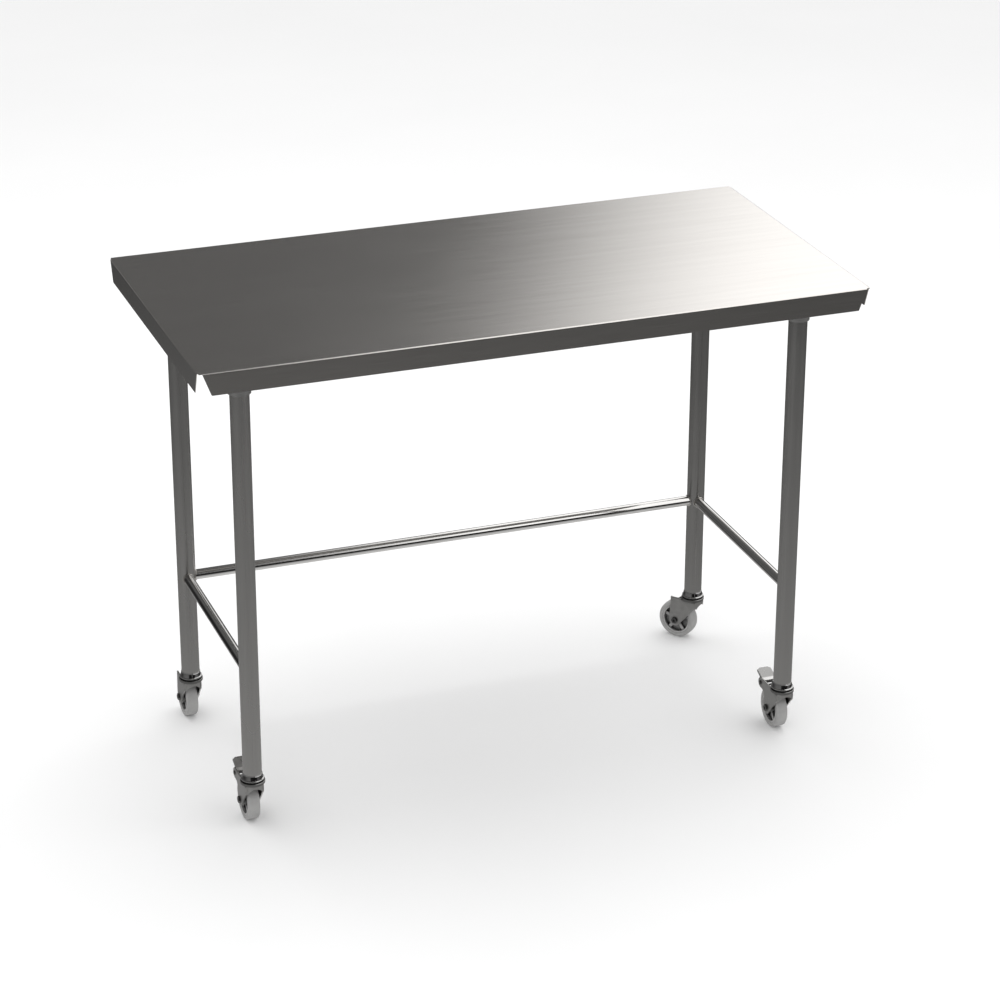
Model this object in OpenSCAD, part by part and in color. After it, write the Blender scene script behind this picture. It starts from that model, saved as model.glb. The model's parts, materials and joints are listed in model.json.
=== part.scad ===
// Stainless work table on four swivel castors.
// A folded sheet top with open corners stands on four round tube legs. Three round rails join the
// legs and leave the front open. Each leg ends in a swivel castor, and the front pair have brakes.
// The origin is on the floor under the middle of the top. +X runs to the right, +Y to the rear.

/* [Worktop] */
// Length of the top, left to right
top_w = 1200; // [1000:10:1600]
// Depth of the top, front to rear
top_d = 600; // [500:10:800]
// Height of the working surface above the floor
top_h = 895; // [800:5:950]
// Thickness of the folded sheet
sheet = 1.2; // [1:0.1:2]
// Height of the turned-down edge
flange_h = 39; // [30:1:50]
// Outside radius of the folds
bend_r = 2; // [1.8:0.1:4]
// Distance from the corner to where each fold starts
corner_gap = 8; // [5:1:12]
// How much further back the lower end of each turned-down edge is cut
corner_slant = 14; // [0:1:20]

/* [Frame] */
// Outside diameter of the leg tubes
leg_od = 33.7; // [30:0.1:38]
// Wall of the leg tubes
leg_wall = 1.5; // [1:0.1:2]
// Distance from the edges of the top to the leg axes
leg_inset = 92.5; // [80:0.5:120]
// Outside diameter of the rails
rail_od = 19; // [16:1:25]
// Wall of the rails
rail_wall = 1.2; // [1:0.1:2]
// Height of the rail axes above the floor
rail_z = 298.5; // [200:0.5:400]
// Height of the stiffening channels under the top
channel_h = 25; // [20:1:30]
// Width of the web of a channel
channel_w = 60; // [60:1:80]
// Width of each welded edge of a channel
channel_brim = 15; // [10:1:20]
// Depth of the leg sockets
socket_h = 48; // [40:1:55]

/* [Castors] */
// Height from the floor to the foot of the leg
castor_h = 105; // [104:0.5:106]
// Radius of the wheel
wheel_r = 37.5; // [36:0.5:38]
// Width of the tread
tread_w = 22; // [20:0.5:22]
// Distance from the swivel axis back to the axle
trail = 30; // [28:0.5:32]
// Heading of the trailing wheels, from +X: front left, front right, rear left, rear right
headings = [90, 90, 90, 129]; // [0:1:360]

/* [Hidden] */
$fn = 48;
play = 0.05;
corners = ["front_left", "front_right", "rear_left", "rear_right"];
side_x = [-1, 1, -1, 1];
side_y = [-1, -1, 1, 1];
leg_x = top_w / 2 - leg_inset;
leg_y = top_d / 2 - leg_inset;
leg_r = leg_od / 2;
under_top = top_h - sheet;
under_channel = under_top - channel_h;

// Leg sockets
socket_plate = 3;
socket_wall = 3;
socket_bore = leg_r + 0.2;
socket_r = socket_bore + socket_wall;
leg_top = under_channel - socket_plate;
boss_r = 7;
boss_reach = socket_r + 4;
screw_r = 4;
screw_z = leg_top - 28;
screw_l = 12;

// Swivel bearing, cup and stem
cup_r = 20.6;
cup_z = 93.4;
lip_z = 89.2;
lip_in = 16.4;
lip_out = 17.4;
race_r = 13;
race_top = 95;
ball_r = 2.6;
balls = 14;
stem_r = 6;
stem_head_r = 9;
stem_head_h = 5;
stem_top = castor_h + 58;
expander_r = leg_r - leg_wall - 0.1;
expander_z = castor_h + 4;
expander_h = 42;
wedge_h = 6;

// Fork
fork_t = 2.5;
fork_top = 87.3;
fork_half = 16.5;
fork_in = fork_half - fork_t;
fork_bend = 5;
crown_r = 21.4;
crown_rear = 17;
throat_r = 13.5;
throat_z = 67;
brow_foot = 71;
brow_t = 2.2;
cheek_front = 0.9 - sqrt(crown_r * crown_r - fork_half * fork_half);
cheek_knee = [cheek_front, 70.8];
cheek_rear = trail + 9.5;
cheek_low = 71;
cheek_r = 11.5;

// Swivel head on the crown: a ring with a groove for the lip of the cup
head_r = 22;
head_low = 85.3;
head_top = 91;
head_edge = 0.8;
groove_r = 18.4;
groove_z = 88.6;
race_edge = race_r + 3;

// Wheel
hub_rim_r = 29.2;
hub_recess_r = 26;
hub_half = 10;
web_half = 2.5;
rib_half = 7.5;
rib_w = 6;
ribs = 5;
boss_hub_r = 10;
sleeve_r = 6;
axle_r = 4;
hex_r = 6.3;
hex_h = 3.2;
hex_socket = 2.9;
hex_depth = 2.5;
shoulder = 2.5;

// Brake
pivot = [trail + 28, 76.5];
ear_r = 9.5;
neck = [[trail + 11, 60], [trail + 16, 66]];
pin_r = 3;
pin_head_r = 3.8;
pin_head_h = 1.6;
pedal_t = 2.2;
pedal_rise = 17;
pedal_front = [-7, 7];
pedal_l = 34;
pedal_half = 13.5;
pedal_corner = 5;
arm_half = 13.3;
arm_r = 5.2;
arm_end = 23.5;
shoe_r = 2;
shoe = [7, -11.5];

castor_parts = ["cup", "expander", "stem", "bearing", "fork", "axle", "nut", "sleeve", "tyre", "hub"];
frame_nodes = ["worktop", "channel_left", "channel_right", "channel_centre", "socket_screws",
               "rail_rear", "rail_left", "rail_right"];

// Points on an arc about c, from angle a to angle b
function arc(c, r, a, b, n = 12) =
    [for (k = [0:n]) c + r * [cos(a + (b - a) * k / n), sin(a + (b - a) * k / n)]];

// Stands its children on the leg axis at corner k
module at_corner(k) translate([side_x[k] * leg_x, side_y[k] * leg_y, 0]) children();

// Stands its children on the leg axis, turned so that +X points to the trailing wheel
module at_castor(k) at_corner(k) rotate([0, 0, headings[k]]) children();

// Turns an outline drawn in (x, z) into a plate h thick, centred on y
module plate_y(h, y = 0) translate([0, y + h / 2, 0]) rotate([90, 0, 0]) linear_extrude(h) children();

// A round bar across the castor, from y = a to y = b
module bar_y(r, a, b) rotate([-90, 0, 0]) translate([0, 0, a]) cylinder(r = r, h = b - a);

// One turned-down edge along X: its outer face is at y = 0 and its top at z = 0
module turned_edge(length) {
    half = length / 2 - corner_gap;
    foot = half - corner_slant;
    nose = 2;
    intersection() {
        difference() {
            translate([-half, bend_r, -bend_r]) rotate([0, 90, 0]) cylinder(r = bend_r, h = 2 * half);
            translate([-half - 1, bend_r, -bend_r]) rotate([0, 90, 0])
                cylinder(r = bend_r - sheet, h = 2 * half + 2);
        }
        translate([-half, 0, -bend_r - 0.01]) cube([2 * half, bend_r + 0.01, bend_r + 0.01]);
    }
    plate_y(sheet, sheet / 2) polygon(concat(
        [[-half, -bend_r], [half, -bend_r]],
        arc([foot - nose * 0.7, -flange_h + nose], nose, -20, -90, 5),
        arc([nose * 0.7 - foot, -flange_h + nose], nose, -90, -160, 5)));
}

module worktop() color("silver") {
    translate([bend_r - top_w / 2, bend_r - top_d / 2, under_top])
        cube([top_w - 2 * bend_r, top_d - 2 * bend_r, sheet]);
    for (turn = [0, 180])
        rotate([0, 0, turn]) translate([0, -top_d / 2, top_h]) turned_edge(top_w);
    for (turn = [90, 270])
        rotate([0, 0, turn]) translate([0, -top_w / 2, top_h]) turned_edge(top_d);
}

// A hat-shaped channel along X, hanging from the underside of the top
module channel(length) {
    web = channel_w / 2;
    brim = web + channel_brim;
    inner = web - sheet;
    color("darkgray") translate([-length / 2, 0, under_top]) rotate([90, 0, 90])
        linear_extrude(length) polygon([
            [-brim, 0], [-brim, -sheet], [-web, -sheet], [-web, -channel_h],
            [web, -channel_h], [web, -sheet], [brim, -sheet], [brim, 0],
            [inner, 0], [inner, sheet - channel_h], [-inner, sheet - channel_h], [-inner, 0]]);
}

module side_channel(side)
    translate([side * leg_x, 0, 0]) rotate([0, 0, 90]) channel(top_d - 2 * (bend_r + 7));

module centre_channel() channel(2 * (leg_x - channel_w / 2 - channel_brim - 2));

// A welded cup that takes the top of a leg, with a threaded boss facing the middle of the table
module leg_socket(k) at_corner(k) mirror([side_x[k] < 0 ? 0 : 1, 0, 0]) color("darkgray")
    difference() {
        union() {
            translate([0, 0, leg_top]) cylinder(r = channel_w / 2 - 2, h = socket_plate);
            translate([0, 0, leg_top - socket_h]) cylinder(r = socket_r, h = socket_h + 1);
            translate([0, 0, screw_z]) rotate([0, 90, 0]) cylinder(r = boss_r, h = boss_reach);
        }
        translate([0, 0, leg_top - socket_h - 1]) cylinder(r = socket_bore, h = socket_h + 1);
        translate([0, 0, screw_z]) rotate([0, 90, 0]) cylinder(r = screw_r + 0.1, h = boss_reach + 1);
    }

// Grub screws with hexagon sockets, one in each leg socket
module socket_screws() color("dimgray") for (k = [0:3])
    at_corner(k) mirror([side_x[k] < 0 ? 0 : 1, 0, 0])
        translate([leg_r + play, 0, screw_z]) rotate([0, 90, 0]) difference() {
            cylinder(r = screw_r, h = screw_l);
            translate([0, 0, screw_l - 4]) cylinder(r = 2.3, h = 5, $fn = 6);
        }

module leg(k) at_corner(k) color("gray") difference() {
    translate([0, 0, castor_h]) cylinder(r = leg_r, h = leg_top - castor_h);
    translate([0, 0, castor_h - 1]) cylinder(r = leg_r - leg_wall, h = leg_top - castor_h + 2);
}

// A rail along X between two leg axes, its ends cut to the shape of the legs
module rail(span) color("lightgray") difference() {
    translate([-span / 2, 0, rail_z]) rotate([0, 90, 0]) difference() {
        cylinder(r = rail_od / 2, h = span);
        translate([0, 0, -1]) cylinder(r = rail_od / 2 - rail_wall, h = span + 2);
    }
    for (s = [-1, 1]) translate([s * span / 2, 0, rail_z - rail_od])
        cylinder(r = leg_r + play, h = 2 * rail_od);
}

module rear_rail() translate([0, leg_y, 0]) rail(2 * leg_x);

module side_rail(side) translate([side * leg_x, 0, 0]) rotate([0, 0, 90]) rail(2 * leg_y);

// Tapered cup under the leg, with a flange and a lip that covers the ball race
module cup() color("silver") rotate_extrude() polygon([
    [stem_r + 0.1, castor_h], [leg_r + 0.5, castor_h], [leg_r + 0.5, castor_h - 1.2],
    [leg_r + 0.9, castor_h - 1.8], [leg_r + 1.9, cup_z + 3], [cup_r - 0.6, cup_z + 2.4],
    [cup_r, cup_z + 1.8], [cup_r, cup_z + 0.6], [cup_r - 0.6, cup_z], [lip_out, cup_z],
    [lip_out, lip_z], [lip_in, lip_z], [lip_in, race_top], [stem_r + 0.1, race_top]]);

// Rubber sleeve and the wedge nut that spreads it inside the leg
module expander() color("dimgray") {
    translate([0, 0, expander_z]) difference() {
        cylinder(r = expander_r, h = expander_h);
        translate([0, 0, -1]) cylinder(r = stem_r + 0.1, h = expander_h + 2);
    }
    translate([0, 0, expander_z + expander_h]) difference() {
        cylinder(r = 10, h = wedge_h, $fn = 6);
        translate([0, 0, -1]) cylinder(r = stem_r + 0.1, h = wedge_h + 2);
    }
}

// King bolt on which the fork turns, with its head under the crown
module stem() color("silver") {
    head_z = fork_top - fork_t - 0.3 - stem_head_h;
    translate([0, 0, head_z]) cylinder(r = stem_head_r, h = stem_head_h);
    translate([0, 0, head_z]) cylinder(r = stem_r, h = stem_top - head_z);
}

module bearing() color("silver") for (k = [0:balls - 1])
    rotate([0, 0, k * 360 / balls]) translate([race_r, 0, race_top - 0.3 - ball_r]) sphere(r = ball_r);

// Rounded arch across the fork, in (y, z), down to height foot
module arch(half, top, r, foot) {
    translate([-half, foot]) square([2 * half, top - r - foot]);
    translate([r - half, foot]) square([2 * (half - r), top - foot]);
    for (s = [-1, 1]) translate([s * (half - r), top - r]) circle(r = r);
}

// The crown of the fork: a bent plate under the swivel head
module crown() intersection() {
    translate([-crown_r, 0, 0]) rotate([90, 0, 90]) linear_extrude(crown_r + crown_rear) difference() {
        arch(fork_half, fork_top, fork_bend, fork_top - 12);
        arch(fork_in, fork_top - fork_t, fork_bend - fork_t, fork_top - 13);
    }
    union() {
        cylinder(r = crown_r, h = castor_h);
        translate([0, -fork_half, 0]) cube([crown_rear, 2 * fork_half, castor_h]);
    }
}

// The brow of the fork: a curved lip under the front of the crown, cut to a round throat
module brow() intersection() {
    translate([-crown_r, 0, 0]) rotate([90, 0, 90]) linear_extrude(crown_r - 8) difference() {
        arch(fork_half - 0.15, fork_top - 0.6, fork_bend, brow_foot);
        translate([0, throat_z]) circle(r = throat_r);
    }
    difference() {
        cylinder(r = crown_r - 0.3, h = castor_h);
        translate([0, 0, -1]) cylinder(r = crown_r - 0.3 - brow_t, h = castor_h + 2);
    }
}

// Outline of a cheek of the fork in (x, z). A braked cheek rises to an ear for the pedal pin, and
// rear is the height of the rear corner of a plain one.
module cheek_outline(braked, rear) {
    below_bend = fork_top - fork_bend - 1.5;
    to_knee = cheek_knee - [trail, wheel_r];
    touch = atan2(to_knee[1], to_knee[0]) + acos(cheek_r / norm(to_knee));
    polygon(concat(
        [[cheek_front, below_bend], cheek_knee],
        arc([trail, wheel_r], cheek_r, touch, 360),
        braked ? concat(neck, arc(pivot, ear_r, -105, 90)) : [],
        [[cheek_rear, rear], [crown_rear - 1, fork_top], [crown_rear - 1, below_bend]]));
}

// Ring on top of the crown, with the groove and the lower race for the balls
module swivel_head() {
    race_low = race_top - 0.35 - 2 * ball_r;
    rotate_extrude() polygon([
        [0, head_low], [head_r - head_edge, head_low], [head_r, head_low + head_edge],
        [head_r, head_top - head_edge], [head_r - head_edge, head_top], [groove_r, head_top],
        [groove_r, groove_z], [race_edge, groove_z], [race_edge, race_low], [0, race_low]]);
}

module fork(braked) color("gray") difference() {
    union() {
        crown();
        brow();
        for (s = [-1, 1]) plate_y(fork_t, s * (fork_half - fork_t / 2))
            cheek_outline(braked, braked || s > 0 ? fork_top : cheek_low);
        swivel_head();
    }
    translate([0, 0, fork_top - 20]) cylinder(r = stem_r + play, h = 40);
    translate([trail, 0, wheel_r]) bar_y(axle_r + play, -30, 30);
    if (braked) translate([pivot[0], 0, pivot[1]]) bar_y(pin_r + play, -30, 30);
}

// Axle bolt: hexagon head with a socket on the left of the wheel
module axle() translate([trail, 0, wheel_r]) color("dimgray") difference() {
    union() {
        bar_y(axle_r, -fork_half - hex_h - 2, fork_half + 1);
        translate([0, fork_half, 0]) rotate([-90, 0, 0]) cylinder(r = hex_r, h = hex_h, $fn = 6);
    }
    translate([0, fork_half + hex_h - hex_depth, 0]) rotate([-90, 0, 0])
        cylinder(r = hex_socket, h = hex_depth + 1, $fn = 6);
}

module nut() translate([trail, 0, wheel_r]) color("silver") rotate([90, 0, 0])
    translate([0, 0, fork_half]) difference() {
        cylinder(r = hex_r, h = hex_h + 0.6, $fn = 6);
        translate([0, 0, -1]) cylinder(r = axle_r + 0.1, h = hex_h + 3);
    }

// Bearing sleeve clamped between the cheeks, on which the hub turns
module sleeve() translate([trail, 0, wheel_r]) color("silver") difference() {
    bar_y(sleeve_r, -fork_in, fork_in);
    bar_y(axle_r + 0.1, -fork_half, fork_half);
}

// Stands a shape drawn round Z on the axle
module on_axle() translate([trail, 0, wheel_r]) rotate([90, 0, 0]) children();

module tyre() color("lightgray") on_axle() rotate_extrude() {
    half = tread_w / 2;
    inner = hub_rim_r + play;
    polygon(concat(
        [[inner, half - 0.8], [inner + 0.8, half]],
        arc([wheel_r - 0.5 - shoulder, half - shoulder], shoulder, 90, 10, 6),
        [[wheel_r, 4], [wheel_r, -4]],
        arc([wheel_r - 0.5 - shoulder, shoulder - half], shoulder, -10, -90, 6),
        [[inner + 0.8, -half], [inner, 0.8 - half]]));
}

// Hub: a rim, a sunk web on each side with ribs across it, and a boss round the sleeve
module hub() color("gray") on_axle() difference() {
    union() {
        difference() {
            translate([0, 0, -hub_half]) cylinder(r = hub_rim_r, h = 2 * hub_half);
            for (s = [0, 1]) mirror([0, 0, s]) translate([0, 0, web_half])
                cylinder(r = hub_recess_r, h = hub_half);
        }
        translate([0, 0, -fork_in + 0.35]) cylinder(r = boss_hub_r, h = 2 * fork_in - 0.7);
        for (k = [0:ribs - 1]) rotate([0, 0, 18 + k * 360 / ribs])
            translate([boss_hub_r - 2, -rib_w / 2, -rib_half])
                cube([hub_recess_r - boss_hub_r + 3, rib_w, 2 * rib_half]);
    }
    translate([0, 0, -tread_w]) cylinder(r = sleeve_r + play, h = 2 * tread_w);
}

// Sloping top plate of the pedal, with its rear corners cut off
module pedal_plate() translate([pedal_front[0], 0, pedal_front[1]]) rotate([0, -pedal_rise, 0])
    translate([0, 0, -pedal_t]) linear_extrude(pedal_t) polygon([
        [0, 2 - pedal_half], [2, -pedal_half], [pedal_l - pedal_corner, -pedal_half],
        [pedal_l, pedal_corner - pedal_half], [pedal_l, pedal_half - pedal_corner],
        [pedal_l - pedal_corner, pedal_half], [2, pedal_half], [0, pedal_half - 2]]);

// Height of the middle of the plate's thickness above the pin, at x from the pin
function plate_z(x) = pedal_front[1] + (x - pedal_front[0]) * tan(pedal_rise) - pedal_t / 2;

// Pedal: the plate, two arms between the cheeks and the shoe that presses on the tread
module pedal() translate([pivot[0], 0, pivot[1]]) color("lightgray") difference() {
    union() {
        pedal_plate();
        for (s = [-1, 1]) plate_y(pedal_t, s * (arm_half - pedal_t / 2)) polygon(concat(
            [[-6, plate_z(-6)], [-5.5, 0]],
            arc([0, 0], arm_r, 200, 225, 3),
            arc(shoe, shoe_r + 0.6, 215, 350, 6),
            [[11, 6.5], [arm_end, plate_z(arm_end) - 3], [arm_end, plate_z(arm_end)]]));
        translate([shoe[0], 0, shoe[1]]) bar_y(shoe_r, -arm_half + 0.5, arm_half - 0.5);
    }
    bar_y(pin_r + 0.06, -30, 30);
}

module pin() translate([pivot[0], 0, pivot[1]]) color("dimgray") {
    bar_y(pin_r, -fork_half - pin_head_h, fork_half + pin_head_h);
    for (s = [-1, 1]) translate([0, s * (fork_half + pin_head_h / 2), 0])
        bar_y(pin_head_r, -pin_head_h / 2, pin_head_h / 2);
}

worktop();
side_channel(-1);  // channel_left
side_channel(1);  // channel_right
centre_channel();  // channel_centre
socket_screws();
rear_rail();  // rail_rear
side_rail(-1);  // rail_left
side_rail(1);  // rail_right
for (k = [0:3]) {
    name = corners[k];
    leg(k);
    leg_socket(k);
    at_castor(k) cup();
    at_castor(k) expander();
    at_castor(k) stem();
    at_castor(k) bearing();
    at_castor(k) fork(side_y[k] < 0);
    at_castor(k) axle();
    at_castor(k) nut();
    at_castor(k) sleeve();
    at_castor(k) tyre();
    at_castor(k) hub();
}
for (k = [0, 1]) {
    at_castor(k) pedal();
    at_castor(k) pin();
}
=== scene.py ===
import json
import math

import bmesh
import bpy
from mathutils import Matrix, Vector


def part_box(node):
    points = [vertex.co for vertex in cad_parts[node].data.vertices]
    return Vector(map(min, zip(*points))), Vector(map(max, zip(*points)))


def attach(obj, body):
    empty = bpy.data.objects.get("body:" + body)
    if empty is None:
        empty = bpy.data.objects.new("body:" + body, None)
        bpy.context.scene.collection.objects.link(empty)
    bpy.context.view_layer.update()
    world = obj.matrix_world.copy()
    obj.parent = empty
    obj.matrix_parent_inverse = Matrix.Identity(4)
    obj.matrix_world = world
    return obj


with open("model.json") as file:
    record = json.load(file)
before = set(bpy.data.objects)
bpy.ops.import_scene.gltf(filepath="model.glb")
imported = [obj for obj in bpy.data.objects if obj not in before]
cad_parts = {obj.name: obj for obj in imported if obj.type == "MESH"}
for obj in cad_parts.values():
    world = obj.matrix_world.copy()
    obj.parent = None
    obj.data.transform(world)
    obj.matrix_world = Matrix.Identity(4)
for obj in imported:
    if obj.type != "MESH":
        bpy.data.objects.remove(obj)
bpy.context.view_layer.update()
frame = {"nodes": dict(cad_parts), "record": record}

NODES = frame["nodes"]
MM = 0.001

# Camera: measured from the middle of the floor under the table
CAMERA_PLACE = Vector((-1.7445, -4.8110, 2.7318))
CAMERA_YAW = 20.2229
CAMERA_PITCH = 23.9358
CAMERA_ROLL = 0.131
CAMERA_LENS = 111.65
SENSOR = 36.0

CASTORS = ("front_left", "front_right", "rear_left", "rear_right")

# Height above which painted shade halves the forks' colour: the swivel heads and the upper edges
HEAD_Z = 85.6 * MM

# Radii of the black ring that stands in for the shade in the gap under each cup, inside and outside
GAP_RING_IN = 17.45 * MM
GAP_RING_OUT = 17.9 * MM


# ---------------------------------------------------------------- shader helpers

class Graph:
    """A node tree and short calls that add nodes to it."""

    def __init__(self, tree):
        self.tree = tree

    def add(self, kind, **settings):
        made = self.tree.nodes.new(kind)
        for key, value in settings.items():
            setattr(made, key, value)
        return made

    def link(self, source, target):
        self.tree.links.new(source, target)

    def feed(self, socket, value):
        """Gives a socket a plain number or another node's output."""
        if isinstance(value, (int, float)):
            socket.default_value = value
        else:
            self.link(value, socket)

    def math(self, operation, first, second=0.0):
        made = self.add("ShaderNodeMath", operation=operation)
        self.feed(made.inputs[0], first)
        self.feed(made.inputs[1], second)
        return made.outputs["Value"]

    def remap(self, value, start, stop, low, high, kind="LINEAR"):
        """Maps a value from start..stop onto low..high."""
        made = self.add("ShaderNodeMapRange", interpolation_type=kind)
        made.inputs["From Min"].default_value = start
        made.inputs["From Max"].default_value = stop
        made.inputs["To Min"].default_value = low
        made.inputs["To Max"].default_value = high
        self.link(value, made.inputs["Value"])
        return made.outputs["Result"]

    def smooth(self, value, start, stop, low, high):
        return self.remap(value, start, stop, low, high, "SMOOTHSTEP")


class Shader(Graph):
    """A principled material and the parts that its surface is made of."""

    def __init__(self, name, metallic, roughness):
        self.material = bpy.data.materials.new(name)
        self.material.use_nodes = True
        super().__init__(self.material.node_tree)
        self.bsdf = self.tree.nodes["Principled BSDF"]
        self.bsdf.inputs["Metallic"].default_value = metallic
        self.bsdf.inputs["Roughness"].default_value = roughness
        self.place = self.add("ShaderNodeTexCoord").outputs["Object"]

    def paint(self, colour):
        """Links a colour to the surface."""
        self.link(colour, self.bsdf.inputs["Base Color"])

    def polish(self, roughness):
        """Links a roughness to the surface."""
        self.link(roughness, self.bsdf.inputs["Roughness"])

    def stretched(self, scale):
        """The place, stretched so that noise runs long along the small axis of scale."""
        mapping = self.add("ShaderNodeMapping")
        mapping.inputs["Scale"].default_value = scale
        self.link(self.place, mapping.inputs["Vector"])
        return mapping.outputs["Vector"]

    def noise(self, scale, detail=3.0, rough=0.55, stretch=None):
        """A noise value from 0 to 1."""
        made = self.add("ShaderNodeTexNoise")
        made.inputs["Scale"].default_value = scale
        made.inputs["Detail"].default_value = detail
        made.inputs["Roughness"].default_value = rough
        self.link(self.stretched(stretch) if stretch else self.place, made.inputs["Vector"])
        return made.outputs["Fac"]

    def spread(self, value, low, high, start=0.3, stop=0.7):
        """Maps the useful middle of a noise value onto low..high."""
        return self.remap(value, start, stop, low, high)

    def mix(self, factor, first, second):
        """Mixes two colours by a factor."""
        made = self.add("ShaderNodeMix", data_type="RGBA")
        made.inputs["A"].default_value = (*first, 1)
        made.inputs["B"].default_value = (*second, 1)
        self.link(factor, made.inputs["Factor"])
        return made.outputs["Result"]

    def bump(self, height, strength, distance):
        made = self.add("ShaderNodeBump")
        made.inputs["Strength"].default_value = strength
        made.inputs["Distance"].default_value = distance
        self.link(height, made.inputs["Height"])
        self.link(made.outputs["Normal"], self.bsdf.inputs["Normal"])

    def gap_shade(self, reach, low, high):
        """A value from high in the open down to low in narrow gaps, used to paint shade into them."""
        made = self.add("ShaderNodeAmbientOcclusion", samples=6)
        made.inputs["Distance"].default_value = reach
        return self.spread(made.outputs["AO"], low, high, 0.35, 0.95)

    def along_z(self, vector, start, stop):
        """A value from 0 to 1 as the vector's height runs from start to stop."""
        made = self.add("ShaderNodeSeparateXYZ")
        self.link(vector, made.inputs["Vector"])
        return self.spread(made.outputs["Z"], 0.0, 1.0, start, stop)

    def darken(self, colour, factor):
        """Scales a colour by a factor."""
        made = self.add("ShaderNodeVectorMath", operation="SCALE")
        self.link(colour, made.inputs[0])
        self.link(factor, made.inputs["Scale"])
        return made.outputs["Vector"]

    def edge_glint_mask(self, radius):
        """A value near 1 on sharp edges, from the bevelled normal, used to paint highlights onto the
        edges.
        """
        bevel = self.add("ShaderNodeBevel", samples=4)
        bevel.inputs["Radius"].default_value = radius
        geometry = self.add("ShaderNodeNewGeometry")
        dot = self.add("ShaderNodeVectorMath", operation="DOT_PRODUCT")
        self.link(bevel.outputs["Normal"], dot.inputs[0])
        self.link(geometry.outputs["Normal"], dot.inputs[1])
        return self.spread(dot.outputs["Value"], 1.0, 0.0, 0.75, 1.0)


# ---------------------------------------------------------------- materials

def brushed_sheet():
    """Number four finish: fine scratches along the table, and the colour of the downward faces
    darkened to 0.4.
    """
    s = Shader("brushed_sheet", 1.0, 0.16)
    grain = s.noise(1.0, 2.0, 0.5, (12.0, 900.0, 900.0))
    streak = s.noise(1.0, 2.0, 0.5, (1.6, 70.0, 70.0))
    cloud = s.noise(2.2, 2.0)
    tone = s.math("ADD", s.math("MULTIPLY", grain, 0.55), s.math("MULTIPLY", streak, 0.45))
    steel = s.mix(s.spread(tone, 0, 1, 0.35, 0.65), (0.648, 0.623, 0.595), (0.693, 0.669, 0.641))
    facing = s.along_z(s.add("ShaderNodeNewGeometry").outputs["Normal"], -0.9, -0.5)
    s.paint(s.darken(steel, s.spread(facing, 0.4, 1.0, 0.0, 1.0)))
    sheen = s.math("ADD", s.math("MULTIPLY", grain, 0.6), s.math("MULTIPLY", cloud, 0.4))
    s.polish(s.spread(sheen, 0.145, 0.185, 0.35, 0.65))
    s.bump(grain, 0.05, 0.00002)
    return s.material


def satin_tube():
    """Leg tube, satin polished along its length."""
    s = Shader("satin_tube", 1.0, 0.25)
    grain = s.noise(1.0, 3.0, 0.5, (700.0, 700.0, 9.0))
    cloud = s.noise(9.0, 3.0, 0.5, (1.0, 1.0, 0.35))
    s.paint(s.mix(s.spread(grain, 0, 1), (0.515, 0.506, 0.49), (0.563, 0.554, 0.538)))
    s.polish(s.spread(cloud, 0.21, 0.29))
    s.bump(grain, 0.06, 0.00002)
    return s.material


def bright_tube():
    """Rail tube, mirror polished with a faint grain."""
    s = Shader("bright_tube", 1.0, 0.09)
    grain = s.noise(420.0, 3.0, 0.6)
    cloud = s.noise(14.0, 2.0)
    s.paint(s.mix(s.spread(cloud, 0, 1), (0.60, 0.59, 0.575), (0.66, 0.65, 0.638)))
    s.polish(s.spread(grain, 0.07, 0.11))
    s.bump(grain, 0.05, 0.00003)
    return s.material


def mill_steel():
    """Unpolished stainless of the hidden channels and sockets, a little cloudy."""
    s = Shader("mill_steel", 1.0, 0.42)
    grain = s.noise(260.0, 4.0, 0.65)
    cloud = s.noise(16.0, 3.0)
    s.paint(s.mix(s.spread(cloud, 0, 1), (0.46, 0.455, 0.445), (0.54, 0.535, 0.525)))
    s.polish(s.spread(grain, 0.36, 0.50))
    s.bump(grain, 0.18, 0.00005)
    return s.material


def castor_chrome():
    """Bright plate with a faint haze, and painted highlights on its edges."""
    s = Shader("castor_chrome", 1.0, 0.1)
    haze = s.noise(120.0, 3.0)
    edge_glint = s.edge_glint_mask(0.4 * MM)
    # Painted highlight: the edges' colour is lifted from 0.44 to 0.80.
    s.paint(s.mix(edge_glint, (0.44, 0.436, 0.43), (0.80, 0.795, 0.785)))
    s.polish(s.spread(haze, 0.07, 0.16))
    s.bump(haze, 0.04, 0.00004)
    return s.material


def pressed_steel(name, dark, light, roughness):
    """Tumbled pressing: soft mottling, a slight orange peel, painted highlights on the edges, painted
    shade on the head and painted shade in narrow gaps.
    """
    s = Shader(name, 1.0, roughness)
    mottle = s.noise(95.0, 4.0, 0.6)
    peel = s.noise(520.0, 2.0, 0.5)
    edge_glint = s.edge_glint_mask(0.6 * MM)
    body = s.add("ShaderNodeMix", data_type="RGBA")
    body.inputs["B"].default_value = (0.80, 0.79, 0.775, 1)
    s.link(s.mix(s.spread(mottle, 0, 1), dark, light), body.inputs["A"])
    # Painted highlight: edges mixed up to 60 per cent towards a bright 0.80 grey.
    s.link(s.math("MULTIPLY", edge_glint, 0.6), body.inputs["Factor"])
    # Painted shade: the colour is halved above the swivel head height.
    head_shade = s.spread(s.along_z(s.place, HEAD_Z - 0.4 * MM, HEAD_Z + 0.4 * MM), 1.0, 0.5, 0.0, 1.0)
    # Painted shade: ambient occlusion darkens narrow gaps down to 0.12.
    shade = s.math("MULTIPLY", head_shade, s.gap_shade(12 * MM, 0.12, 1.0))
    s.paint(s.darken(body.outputs["Result"], shade))
    s.polish(s.spread(mottle, roughness - 0.05, roughness + 0.06))
    s.bump(peel, 0.14, 0.00008)
    return s.material


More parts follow.
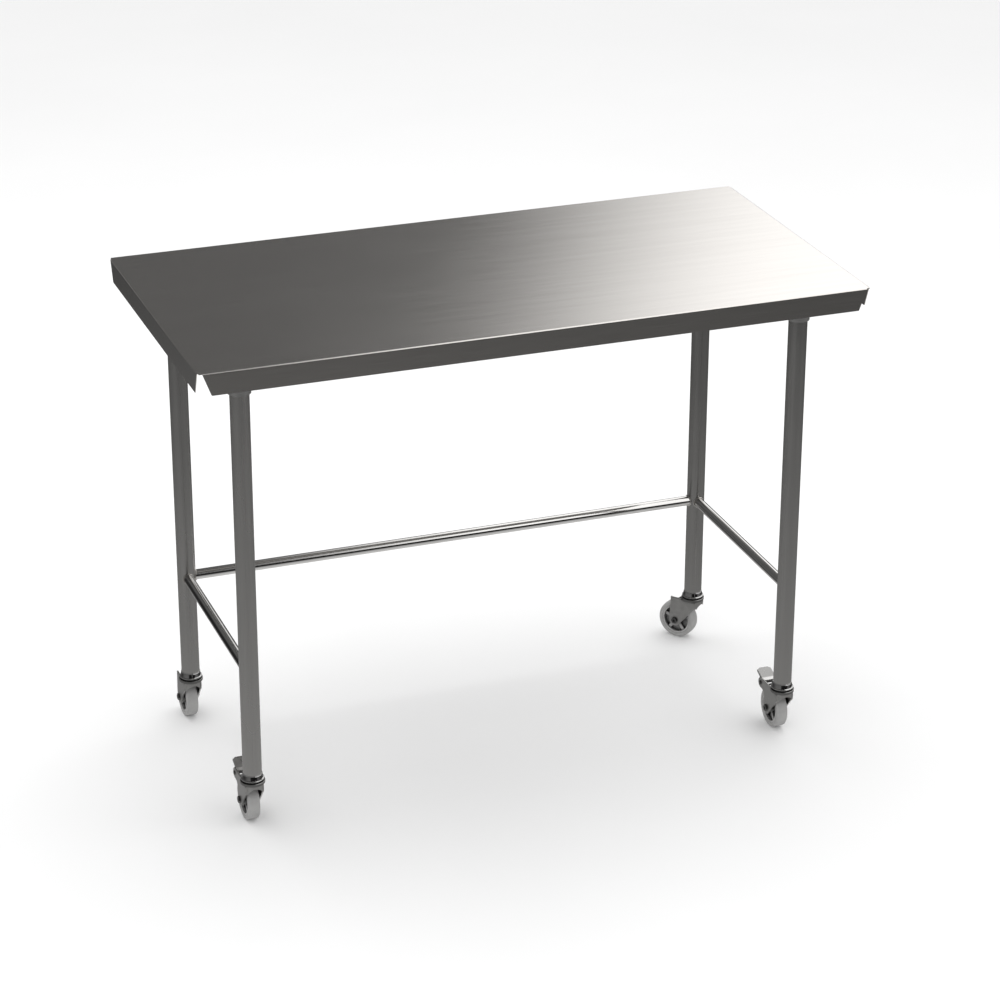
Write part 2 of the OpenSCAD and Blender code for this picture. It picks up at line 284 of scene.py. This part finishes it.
def dark_plate():
    """Dark plated bolts, pins and screws, with painted highlights on their edges."""
    s = Shader("dark_plate", 1.0, 0.3)
    speck = s.noise(300.0, 3.0)
    edge_glint = s.edge_glint_mask(0.4 * MM)
    # Painted highlight: the edges' colour is lifted from 0.16 to 0.42.
    s.paint(s.mix(edge_glint, (0.16, 0.158, 0.155), (0.42, 0.415, 0.41)))
    s.polish(s.spread(speck, 0.24, 0.38))
    s.bump(speck, 0.1, 0.00004)
    return s.material


def grey_tread():
    """Non-marking grey rubber with moulding grain and a trace of dust."""
    s = Shader("grey_tread", 0.0, 0.62)
    grain = s.noise(900.0, 3.0, 0.6)
    dust = s.noise(55.0, 4.0, 0.6)
    s.paint(s.mix(s.spread(dust, 0, 1), (0.30, 0.297, 0.293), (0.355, 0.352, 0.347)))
    s.polish(s.spread(grain, 0.54, 0.72))
    s.bump(grain, 0.25, 0.0001)
    return s.material


def hub_plastic():
    """Moulded grey polypropylene, with painted shade in its pockets."""
    s = Shader("hub_plastic", 0.0, 0.42)
    grain = s.noise(700.0, 2.0)
    flow = s.noise(70.0, 3.0)
    body = s.mix(s.spread(flow, 0, 1), (0.36, 0.356, 0.351), (0.43, 0.426, 0.42))
    # Painted shade: ambient occlusion darkens the hub's pockets down to 0.03.
    s.paint(s.darken(body, s.gap_shade(16 * MM, 0.03, 1.0)))
    s.polish(s.spread(grain, 0.36, 0.5))
    s.bump(grain, 0.2, 0.00006)
    return s.material


def black_rubber():
    """Expanders, and the black rings that stand in for the shaded gaps under the cups."""
    s = Shader("black_rubber", 0.0, 0.6)
    grain = s.noise(600.0, 3.0)
    s.paint(s.mix(s.spread(grain, 0, 1), (0.012, 0.012, 0.012), (0.024, 0.024, 0.024)))
    s.polish(s.spread(grain, 0.5, 0.7))
    s.bump(grain, 0.2, 0.00006)
    return s.material


def weld_metal():
    """Cleaned weld bead, a little duller and warmer than the tube."""
    s = Shader("weld_metal", 1.0, 0.34)
    tint = s.noise(180.0, 3.0)
    s.paint(s.mix(s.spread(tint, 0, 1), (0.50, 0.475, 0.44), (0.62, 0.605, 0.585)))
    s.polish(s.spread(tint, 0.28, 0.42))
    s.bump(tint, 0.2, 0.00008)
    return s.material


def floor_paint():
    """Pale seamless studio floor."""
    s = Shader("floor_paint", 0.0, 0.9)
    cloud = s.noise(1.3, 3.0)
    s.paint(s.mix(s.spread(cloud, 0, 1), (0.86, 0.86, 0.86), (0.875, 0.875, 0.875)))
    s.bsdf.inputs["Specular IOR Level"].default_value = 0.1
    return s.material


SLOT_MATERIALS = {
    "sheet_steel": brushed_sheet(),
    "channel_steel": mill_steel(),
    "leg_steel": satin_tube(),
    "rail_steel": bright_tube(),
    "castor_chrome": castor_chrome(),
    "fork_steel": pressed_steel("fork_press", (0.47, 0.465, 0.45), (0.56, 0.553, 0.54), 0.33),
    "pedal_steel": pressed_steel("pedal_press", (0.62, 0.615, 0.6), (0.70, 0.692, 0.68), 0.3),
    "dark_steel": dark_plate(),
    "expander_rubber": black_rubber(),
    "tyre_rubber": grey_tread(),
    "hub_plastic": hub_plastic(),
}
WELD = weld_metal()


def dress_cad_nodes():
    """Gives every CAD node the material of its slot."""
    slots = {part["node"]: part["material_slot"] for part in frame["record"]["subparts"]}
    for name, node in NODES.items():
        node.data.materials.clear()
        node.data.materials.append(SLOT_MATERIALS[slots[name]])


# ---------------------------------------------------------------- mesh helpers

def finish_mesh(name, mesh_builder, material, body):
    """Turns a bmesh into a smooth object that rides on a body."""
    mesh = bpy.data.meshes.new(name)
    bmesh.ops.recalc_face_normals(mesh_builder, faces=mesh_builder.faces)
    for face in mesh_builder.faces:
        face.smooth = True
    mesh_builder.to_mesh(mesh)
    mesh_builder.free()
    mesh.materials.append(material)
    made = bpy.data.objects.new(name, mesh)
    bpy.context.scene.collection.objects.link(made)
    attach(made, body)
    return made


def add_tube(builder, path, radius_at, closed, sides=10):
    """Sweeps a round section along a path of points. radius_at gives the radius at each point."""
    count = len(path)
    rings = []
    for k, point in enumerate(path):
        after = path[(k + 1) % count] if closed else path[min(k + 1, count - 1)]
        before = path[k - 1] if closed else path[max(k - 1, 0)]
        along = (after - before).normalized()
        side = along.cross(Vector((0.13, 0.21, 0.97))).normalized()
        up = side.cross(along)
        turn = [2 * math.pi * j / sides for j in range(sides)]
        rings.append([builder.verts.new(point + radius_at(k) * (math.cos(a) * side + math.sin(a) * up))
                      for a in turn])
    for k in range(count if closed else count - 1):
        first, second = rings[k], rings[(k + 1) % count]
        for j in range(sides):
            builder.faces.new((first[j], first[(j + 1) % sides],
                               second[(j + 1) % sides], second[j]))
    if not closed:
        builder.faces.new(rings[0])
        builder.faces.new(rings[-1])


def bead(size, ripple, turns, count):
    """Radius of a weld bead: a row of overlapping ripples."""
    return lambda k: size + ripple * abs(math.sin(math.pi * turns * k / count))


def add_ring(builder, centre, radius, size, ripples):
    """A round weld bead lying flat."""
    count = 96
    path = [centre + radius * Vector((math.cos(a), math.sin(a), 0))
            for a in (2 * math.pi * k / count for k in range(count))]
    add_tube(builder, path, bead(size, size * 0.18, ripples, count), True, 8)


def add_lathe(builder, centre, profile, steps=72):
    """Turns a closed profile of (radius, height) points round Z."""
    rings = []
    for k in range(steps):
        a = 2 * math.pi * k / steps
        rings.append([builder.verts.new(centre + Vector((r * math.cos(a), r * math.sin(a), h)))
                      for r, h in profile])
    for k in range(steps):
        first, second = rings[k], rings[(k + 1) % steps]
        for j in range(len(profile)):
            nxt = (j + 1) % len(profile)
            builder.faces.new((first[j], first[nxt], second[nxt], second[j]))


# ---------------------------------------------------------------- places from the frame

def middle(node):
    low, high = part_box(node)
    return (low + high) / 2


def leg_axis(corner):
    """The foot of a leg's axis on the floor."""
    centre = middle("leg_" + corner)
    return Vector((centre.x, centre.y, 0))


LEG_R = (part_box("leg_front_left")[1].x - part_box("leg_front_left")[0].x) / 2
RAIL_R = (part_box("rail_rear")[1].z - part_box("rail_rear")[0].z) / 2
RAIL_Z = middle("rail_rear").z


# ---------------------------------------------------------------- welds

# Thickness of the weld beads on the rails, sockets and channels
RAIL_BEAD = 1.25 * MM
SOCKET_BEAD = 1.5 * MM
STITCH_BEAD = 1.4 * MM

# The rail beads: how far they stand off the leg, and how much wider than the rail they run
BEAD_LIFT = 0.3 * MM
BEAD_SPREAD = 1.02
SADDLE_POINTS = 90


def saddle(corner, along):
    """Points on the line where a rail meets the leg: along is the direction of the rail."""
    across = Vector((-along.y, along.x, 0))
    foot = leg_axis(corner) + Vector((0, 0, RAIL_Z))
    points = []
    for k in range(SADDLE_POINTS):
        a = 2 * math.pi * k / SADDLE_POINTS
        offset = RAIL_R * math.cos(a)
        reach = math.sqrt(LEG_R ** 2 - offset ** 2) + BEAD_LIFT
        up = Vector((0, 0, RAIL_R * BEAD_SPREAD * math.sin(a)))
        points.append(foot + along * reach + across * offset * BEAD_SPREAD + up)
    return points


def weld_rails():
    """A fillet bead round each end of each rail."""
    builder = bmesh.new()
    ends = (("rear_left", (1, 0)), ("rear_right", (-1, 0)), ("front_left", (0, 1)),
            ("rear_left", (0, -1)), ("front_right", (0, 1)), ("rear_right", (0, -1)))
    for corner, way in ends:
        path = saddle(corner, Vector((*way, 0)))
        add_tube(builder, path, bead(RAIL_BEAD, 0.2 * MM, 30, len(path)), True, 8)
    finish_mesh("rail_welds", builder, WELD, "table")


def weld_sockets():
    """Beads between the sockets, their plates and the channels."""
    builder = bmesh.new()
    for corner in CASTORS:
        low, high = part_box("leg_socket_" + corner)
        top = leg_axis(corner) + Vector((0, 0, high.z))
        plate_r = (high.y - low.y) / 2
        add_ring(builder, top - Vector((0, 0, 1.4 * MM)), plate_r + 0.2 * MM, SOCKET_BEAD, 44)
        add_ring(builder, top - Vector((0, 0, 3.6 * MM)), LEG_R + 3.6 * MM, SOCKET_BEAD, 30)
    finish_mesh("socket_welds", builder, WELD, "table")


def stitch(builder, start, way, length):
    """One short straight bead."""
    count = 14
    path = [start + way * (length * k / count) for k in range(count + 1)]
    add_tube(builder, path, bead(STITCH_BEAD, 0.25 * MM, 6, count), False, 8)


def weld_channels():
    """Short stitch welds along both edges of each channel."""
    builder = bmesh.new()
    length, pitch = 24 * MM, 118 * MM
    for name in ("channel_left", "channel_right", "channel_centre"):
        low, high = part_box(name)
        lengthwise = high.x - low.x > high.y - low.y
        way = Vector((1, 0, 0)) if lengthwise else Vector((0, 1, 0))
        run = (high - low).dot(way)
        count = int(run / pitch)
        first = (run - (count - 1) * pitch - length) / 2
        for side in (0, 1):
            edge = Vector((low.x, high.y if side else low.y, high.z)) if lengthwise else \
                Vector((high.x if side else low.x, low.y, high.z))
            for k in range(count):
                stitch(builder, edge - Vector((0, 0, 1.0 * MM)) + way * (first + k * pitch),
                       way, length)
    finish_mesh("channel_welds", builder, WELD, "table")


# ---------------------------------------------------------------- castor detail

def shaded_gap_rings():
    """Black ring round the lip of each cup, down into the groove of the fork's head: painted shade, a
    dark ring standing in for the shaded gap between cup and head.
    """
    for corner in CASTORS:
        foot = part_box(f"castor_{corner}_cup")[0].z
        builder = bmesh.new()
        profile = [(GAP_RING_IN, foot + 0.1 * MM), (GAP_RING_OUT, foot + 0.1 * MM),
                   (GAP_RING_OUT + 0.25 * MM, foot + 1.2 * MM), (GAP_RING_OUT + 0.45 * MM, foot + 2.4 * MM),
                   (GAP_RING_OUT + 0.9 * MM, foot + 4.1 * MM), (GAP_RING_IN, foot + 4.1 * MM)]
        add_lathe(builder, leg_axis(corner), profile)
        # Painted shade: a black ring standing in for the shaded gap.
        finish_mesh(f"shaded_gap_ring_{corner}", builder, SLOT_MATERIALS["expander_rubber"], "table")


# ---------------------------------------------------------------- studio

def make_camera():
    data = bpy.data.cameras.new("camera")
    data.sensor_width = SENSOR
    data.lens = CAMERA_LENS
    data.clip_end = 100
    camera = bpy.data.objects.new("camera", data)
    turn = (Matrix.Rotation(-math.radians(CAMERA_YAW), 4, "Z")
            @ Matrix.Rotation(math.radians(90 - CAMERA_PITCH), 4, "X")
            @ Matrix.Rotation(math.radians(CAMERA_ROLL), 4, "Z"))
    camera.matrix_world = Matrix.Translation(CAMERA_PLACE) @ turn
    bpy.context.scene.collection.objects.link(camera)
    bpy.context.scene.camera = camera


def make_floor():
    """A wide pale floor that the metal doesn't mirror: the metal mirrors the studio instead."""
    bpy.ops.mesh.primitive_plane_add(size=30, location=(0, 0, 0))
    floor = bpy.context.object
    floor.name = "floor"
    floor.data.materials.append(floor_paint())
    floor.visible_glossy = False


def area_light(name, place, target, size, power):
    data = bpy.data.lights.new(name, "AREA")
    data.shape = "RECTANGLE"
    data.size, data.size_y = size
    data.energy = power
    lamp = bpy.data.objects.new(name, data)
    lamp.location = place
    lamp.rotation_euler = (Vector(target) - Vector(place)).to_track_quat("-Z", "Y").to_euler()
    lamp.visible_camera = False
    lamp.visible_glossy = False
    bpy.context.scene.collection.objects.link(lamp)


def sky_ramp(graph, z):
    """Grey of the surroundings by height: white floor below, dark in front, dim above."""
    ramp = graph.add("ShaderNodeValToRGB")
    stops = ((-1.0, 0.80), (-0.6, 0.56), (-0.47, 0.355), (-0.38, 0.112), (-0.33, 0.068),
             (-0.27, 0.012), (0.13, 0.012), (0.3, 0.12), (0.5, 0.12), (1.0, 0.10))
    marks = ramp.color_ramp.elements
    while len(marks) < len(stops):
        marks.new(0.5)
    for mark, (level, grey) in zip(marks, stops):
        mark.position = (level + 1) / 2
        mark.color = (grey, grey, grey, 1)
    graph.link(graph.remap(z, -1.0, 1.0, 0.0, 1.0), ramp.inputs["Fac"])
    return ramp.outputs["Color"]


def softbox(graph, way, x, z):
    """A wide soft light over the right end, with a slanted edge."""
    lean = graph.add("ShaderNodeVectorMath", operation="DOT_PRODUCT")
    lean.inputs[1].default_value = (0.871, -0.414, 0.263)
    graph.link(way, lean.inputs[0])
    side = graph.smooth(lean.outputs["Value"], -0.012, 0.098, 0.0, 1.45)
    above = graph.smooth(z, 0.13, 0.29, 0.0, 1.0)
    edge = graph.smooth(x, 0.23, 0.31, 0.0, 1.0)
    return graph.math("MULTIPLY", graph.math("MULTIPLY", side, above), edge)


def grey_walls(graph, x, y, z):
    """Dim walls behind the table and past its ends, about level with the eye."""
    low = graph.smooth(z, -0.31, -0.22, 0.0, 1.0)
    high = graph.smooth(z, 0.12, 0.28, 1.0, 0.0)
    rear = graph.smooth(y, 0.87, 0.94, 0.0, 0.3)
    ends = graph.smooth(graph.math("ABSOLUTE", x), 0.48, 0.66, 0.0, 0.22)
    return graph.math("MULTIPLY", graph.math("MAXIMUM", rear, ends), graph.math("MULTIPLY", low, high))


def make_world():
    """The metal mirrors a studio. Everything else sees an even white dome."""
    world = bpy.data.worlds.new("studio")
    bpy.context.scene.world = world
    world.use_nodes = True
    graph = Graph(world.node_tree)
    way = graph.add("ShaderNodeTexCoord").outputs["Generated"]
    axes = graph.add("ShaderNodeSeparateXYZ")
    graph.link(way, axes.inputs["Vector"])
    x, y, z = axes.outputs
    glow = graph.math("ADD", sky_ramp(graph, z), softbox(graph, way, x, z))
    studio = graph.math("ADD", glow, grey_walls(graph, x, y, z))
    pick = graph.add("ShaderNodeMix", data_type="FLOAT")
    graph.link(graph.add("ShaderNodeLightPath").outputs["Is Glossy Ray"], pick.inputs["Factor"])
    pick.inputs["A"].default_value = 1.0
    graph.link(studio, pick.inputs["B"])
    graph.link(pick.outputs["Result"], world.node_tree.nodes["Background"].inputs["Color"])


def make_studio():
    make_camera()
    make_floor()
    make_world()
    area_light("overhead", (0.2, 0.6, 3.4), (0, 0, 0.3), (4.5, 3.0), 60)
    area_light("front_fill", (-2.6, -4.2, 2.2), (0, 0, 0.3), (2.4, 1.8), 14)
    bpy.context.scene.view_settings.view_transform = "Standard"


# ---------------------------------------------------------------- build

make_studio()
dress_cad_nodes()
weld_rails()
weld_sockets()
weld_channels()
shaded_gap_rings()
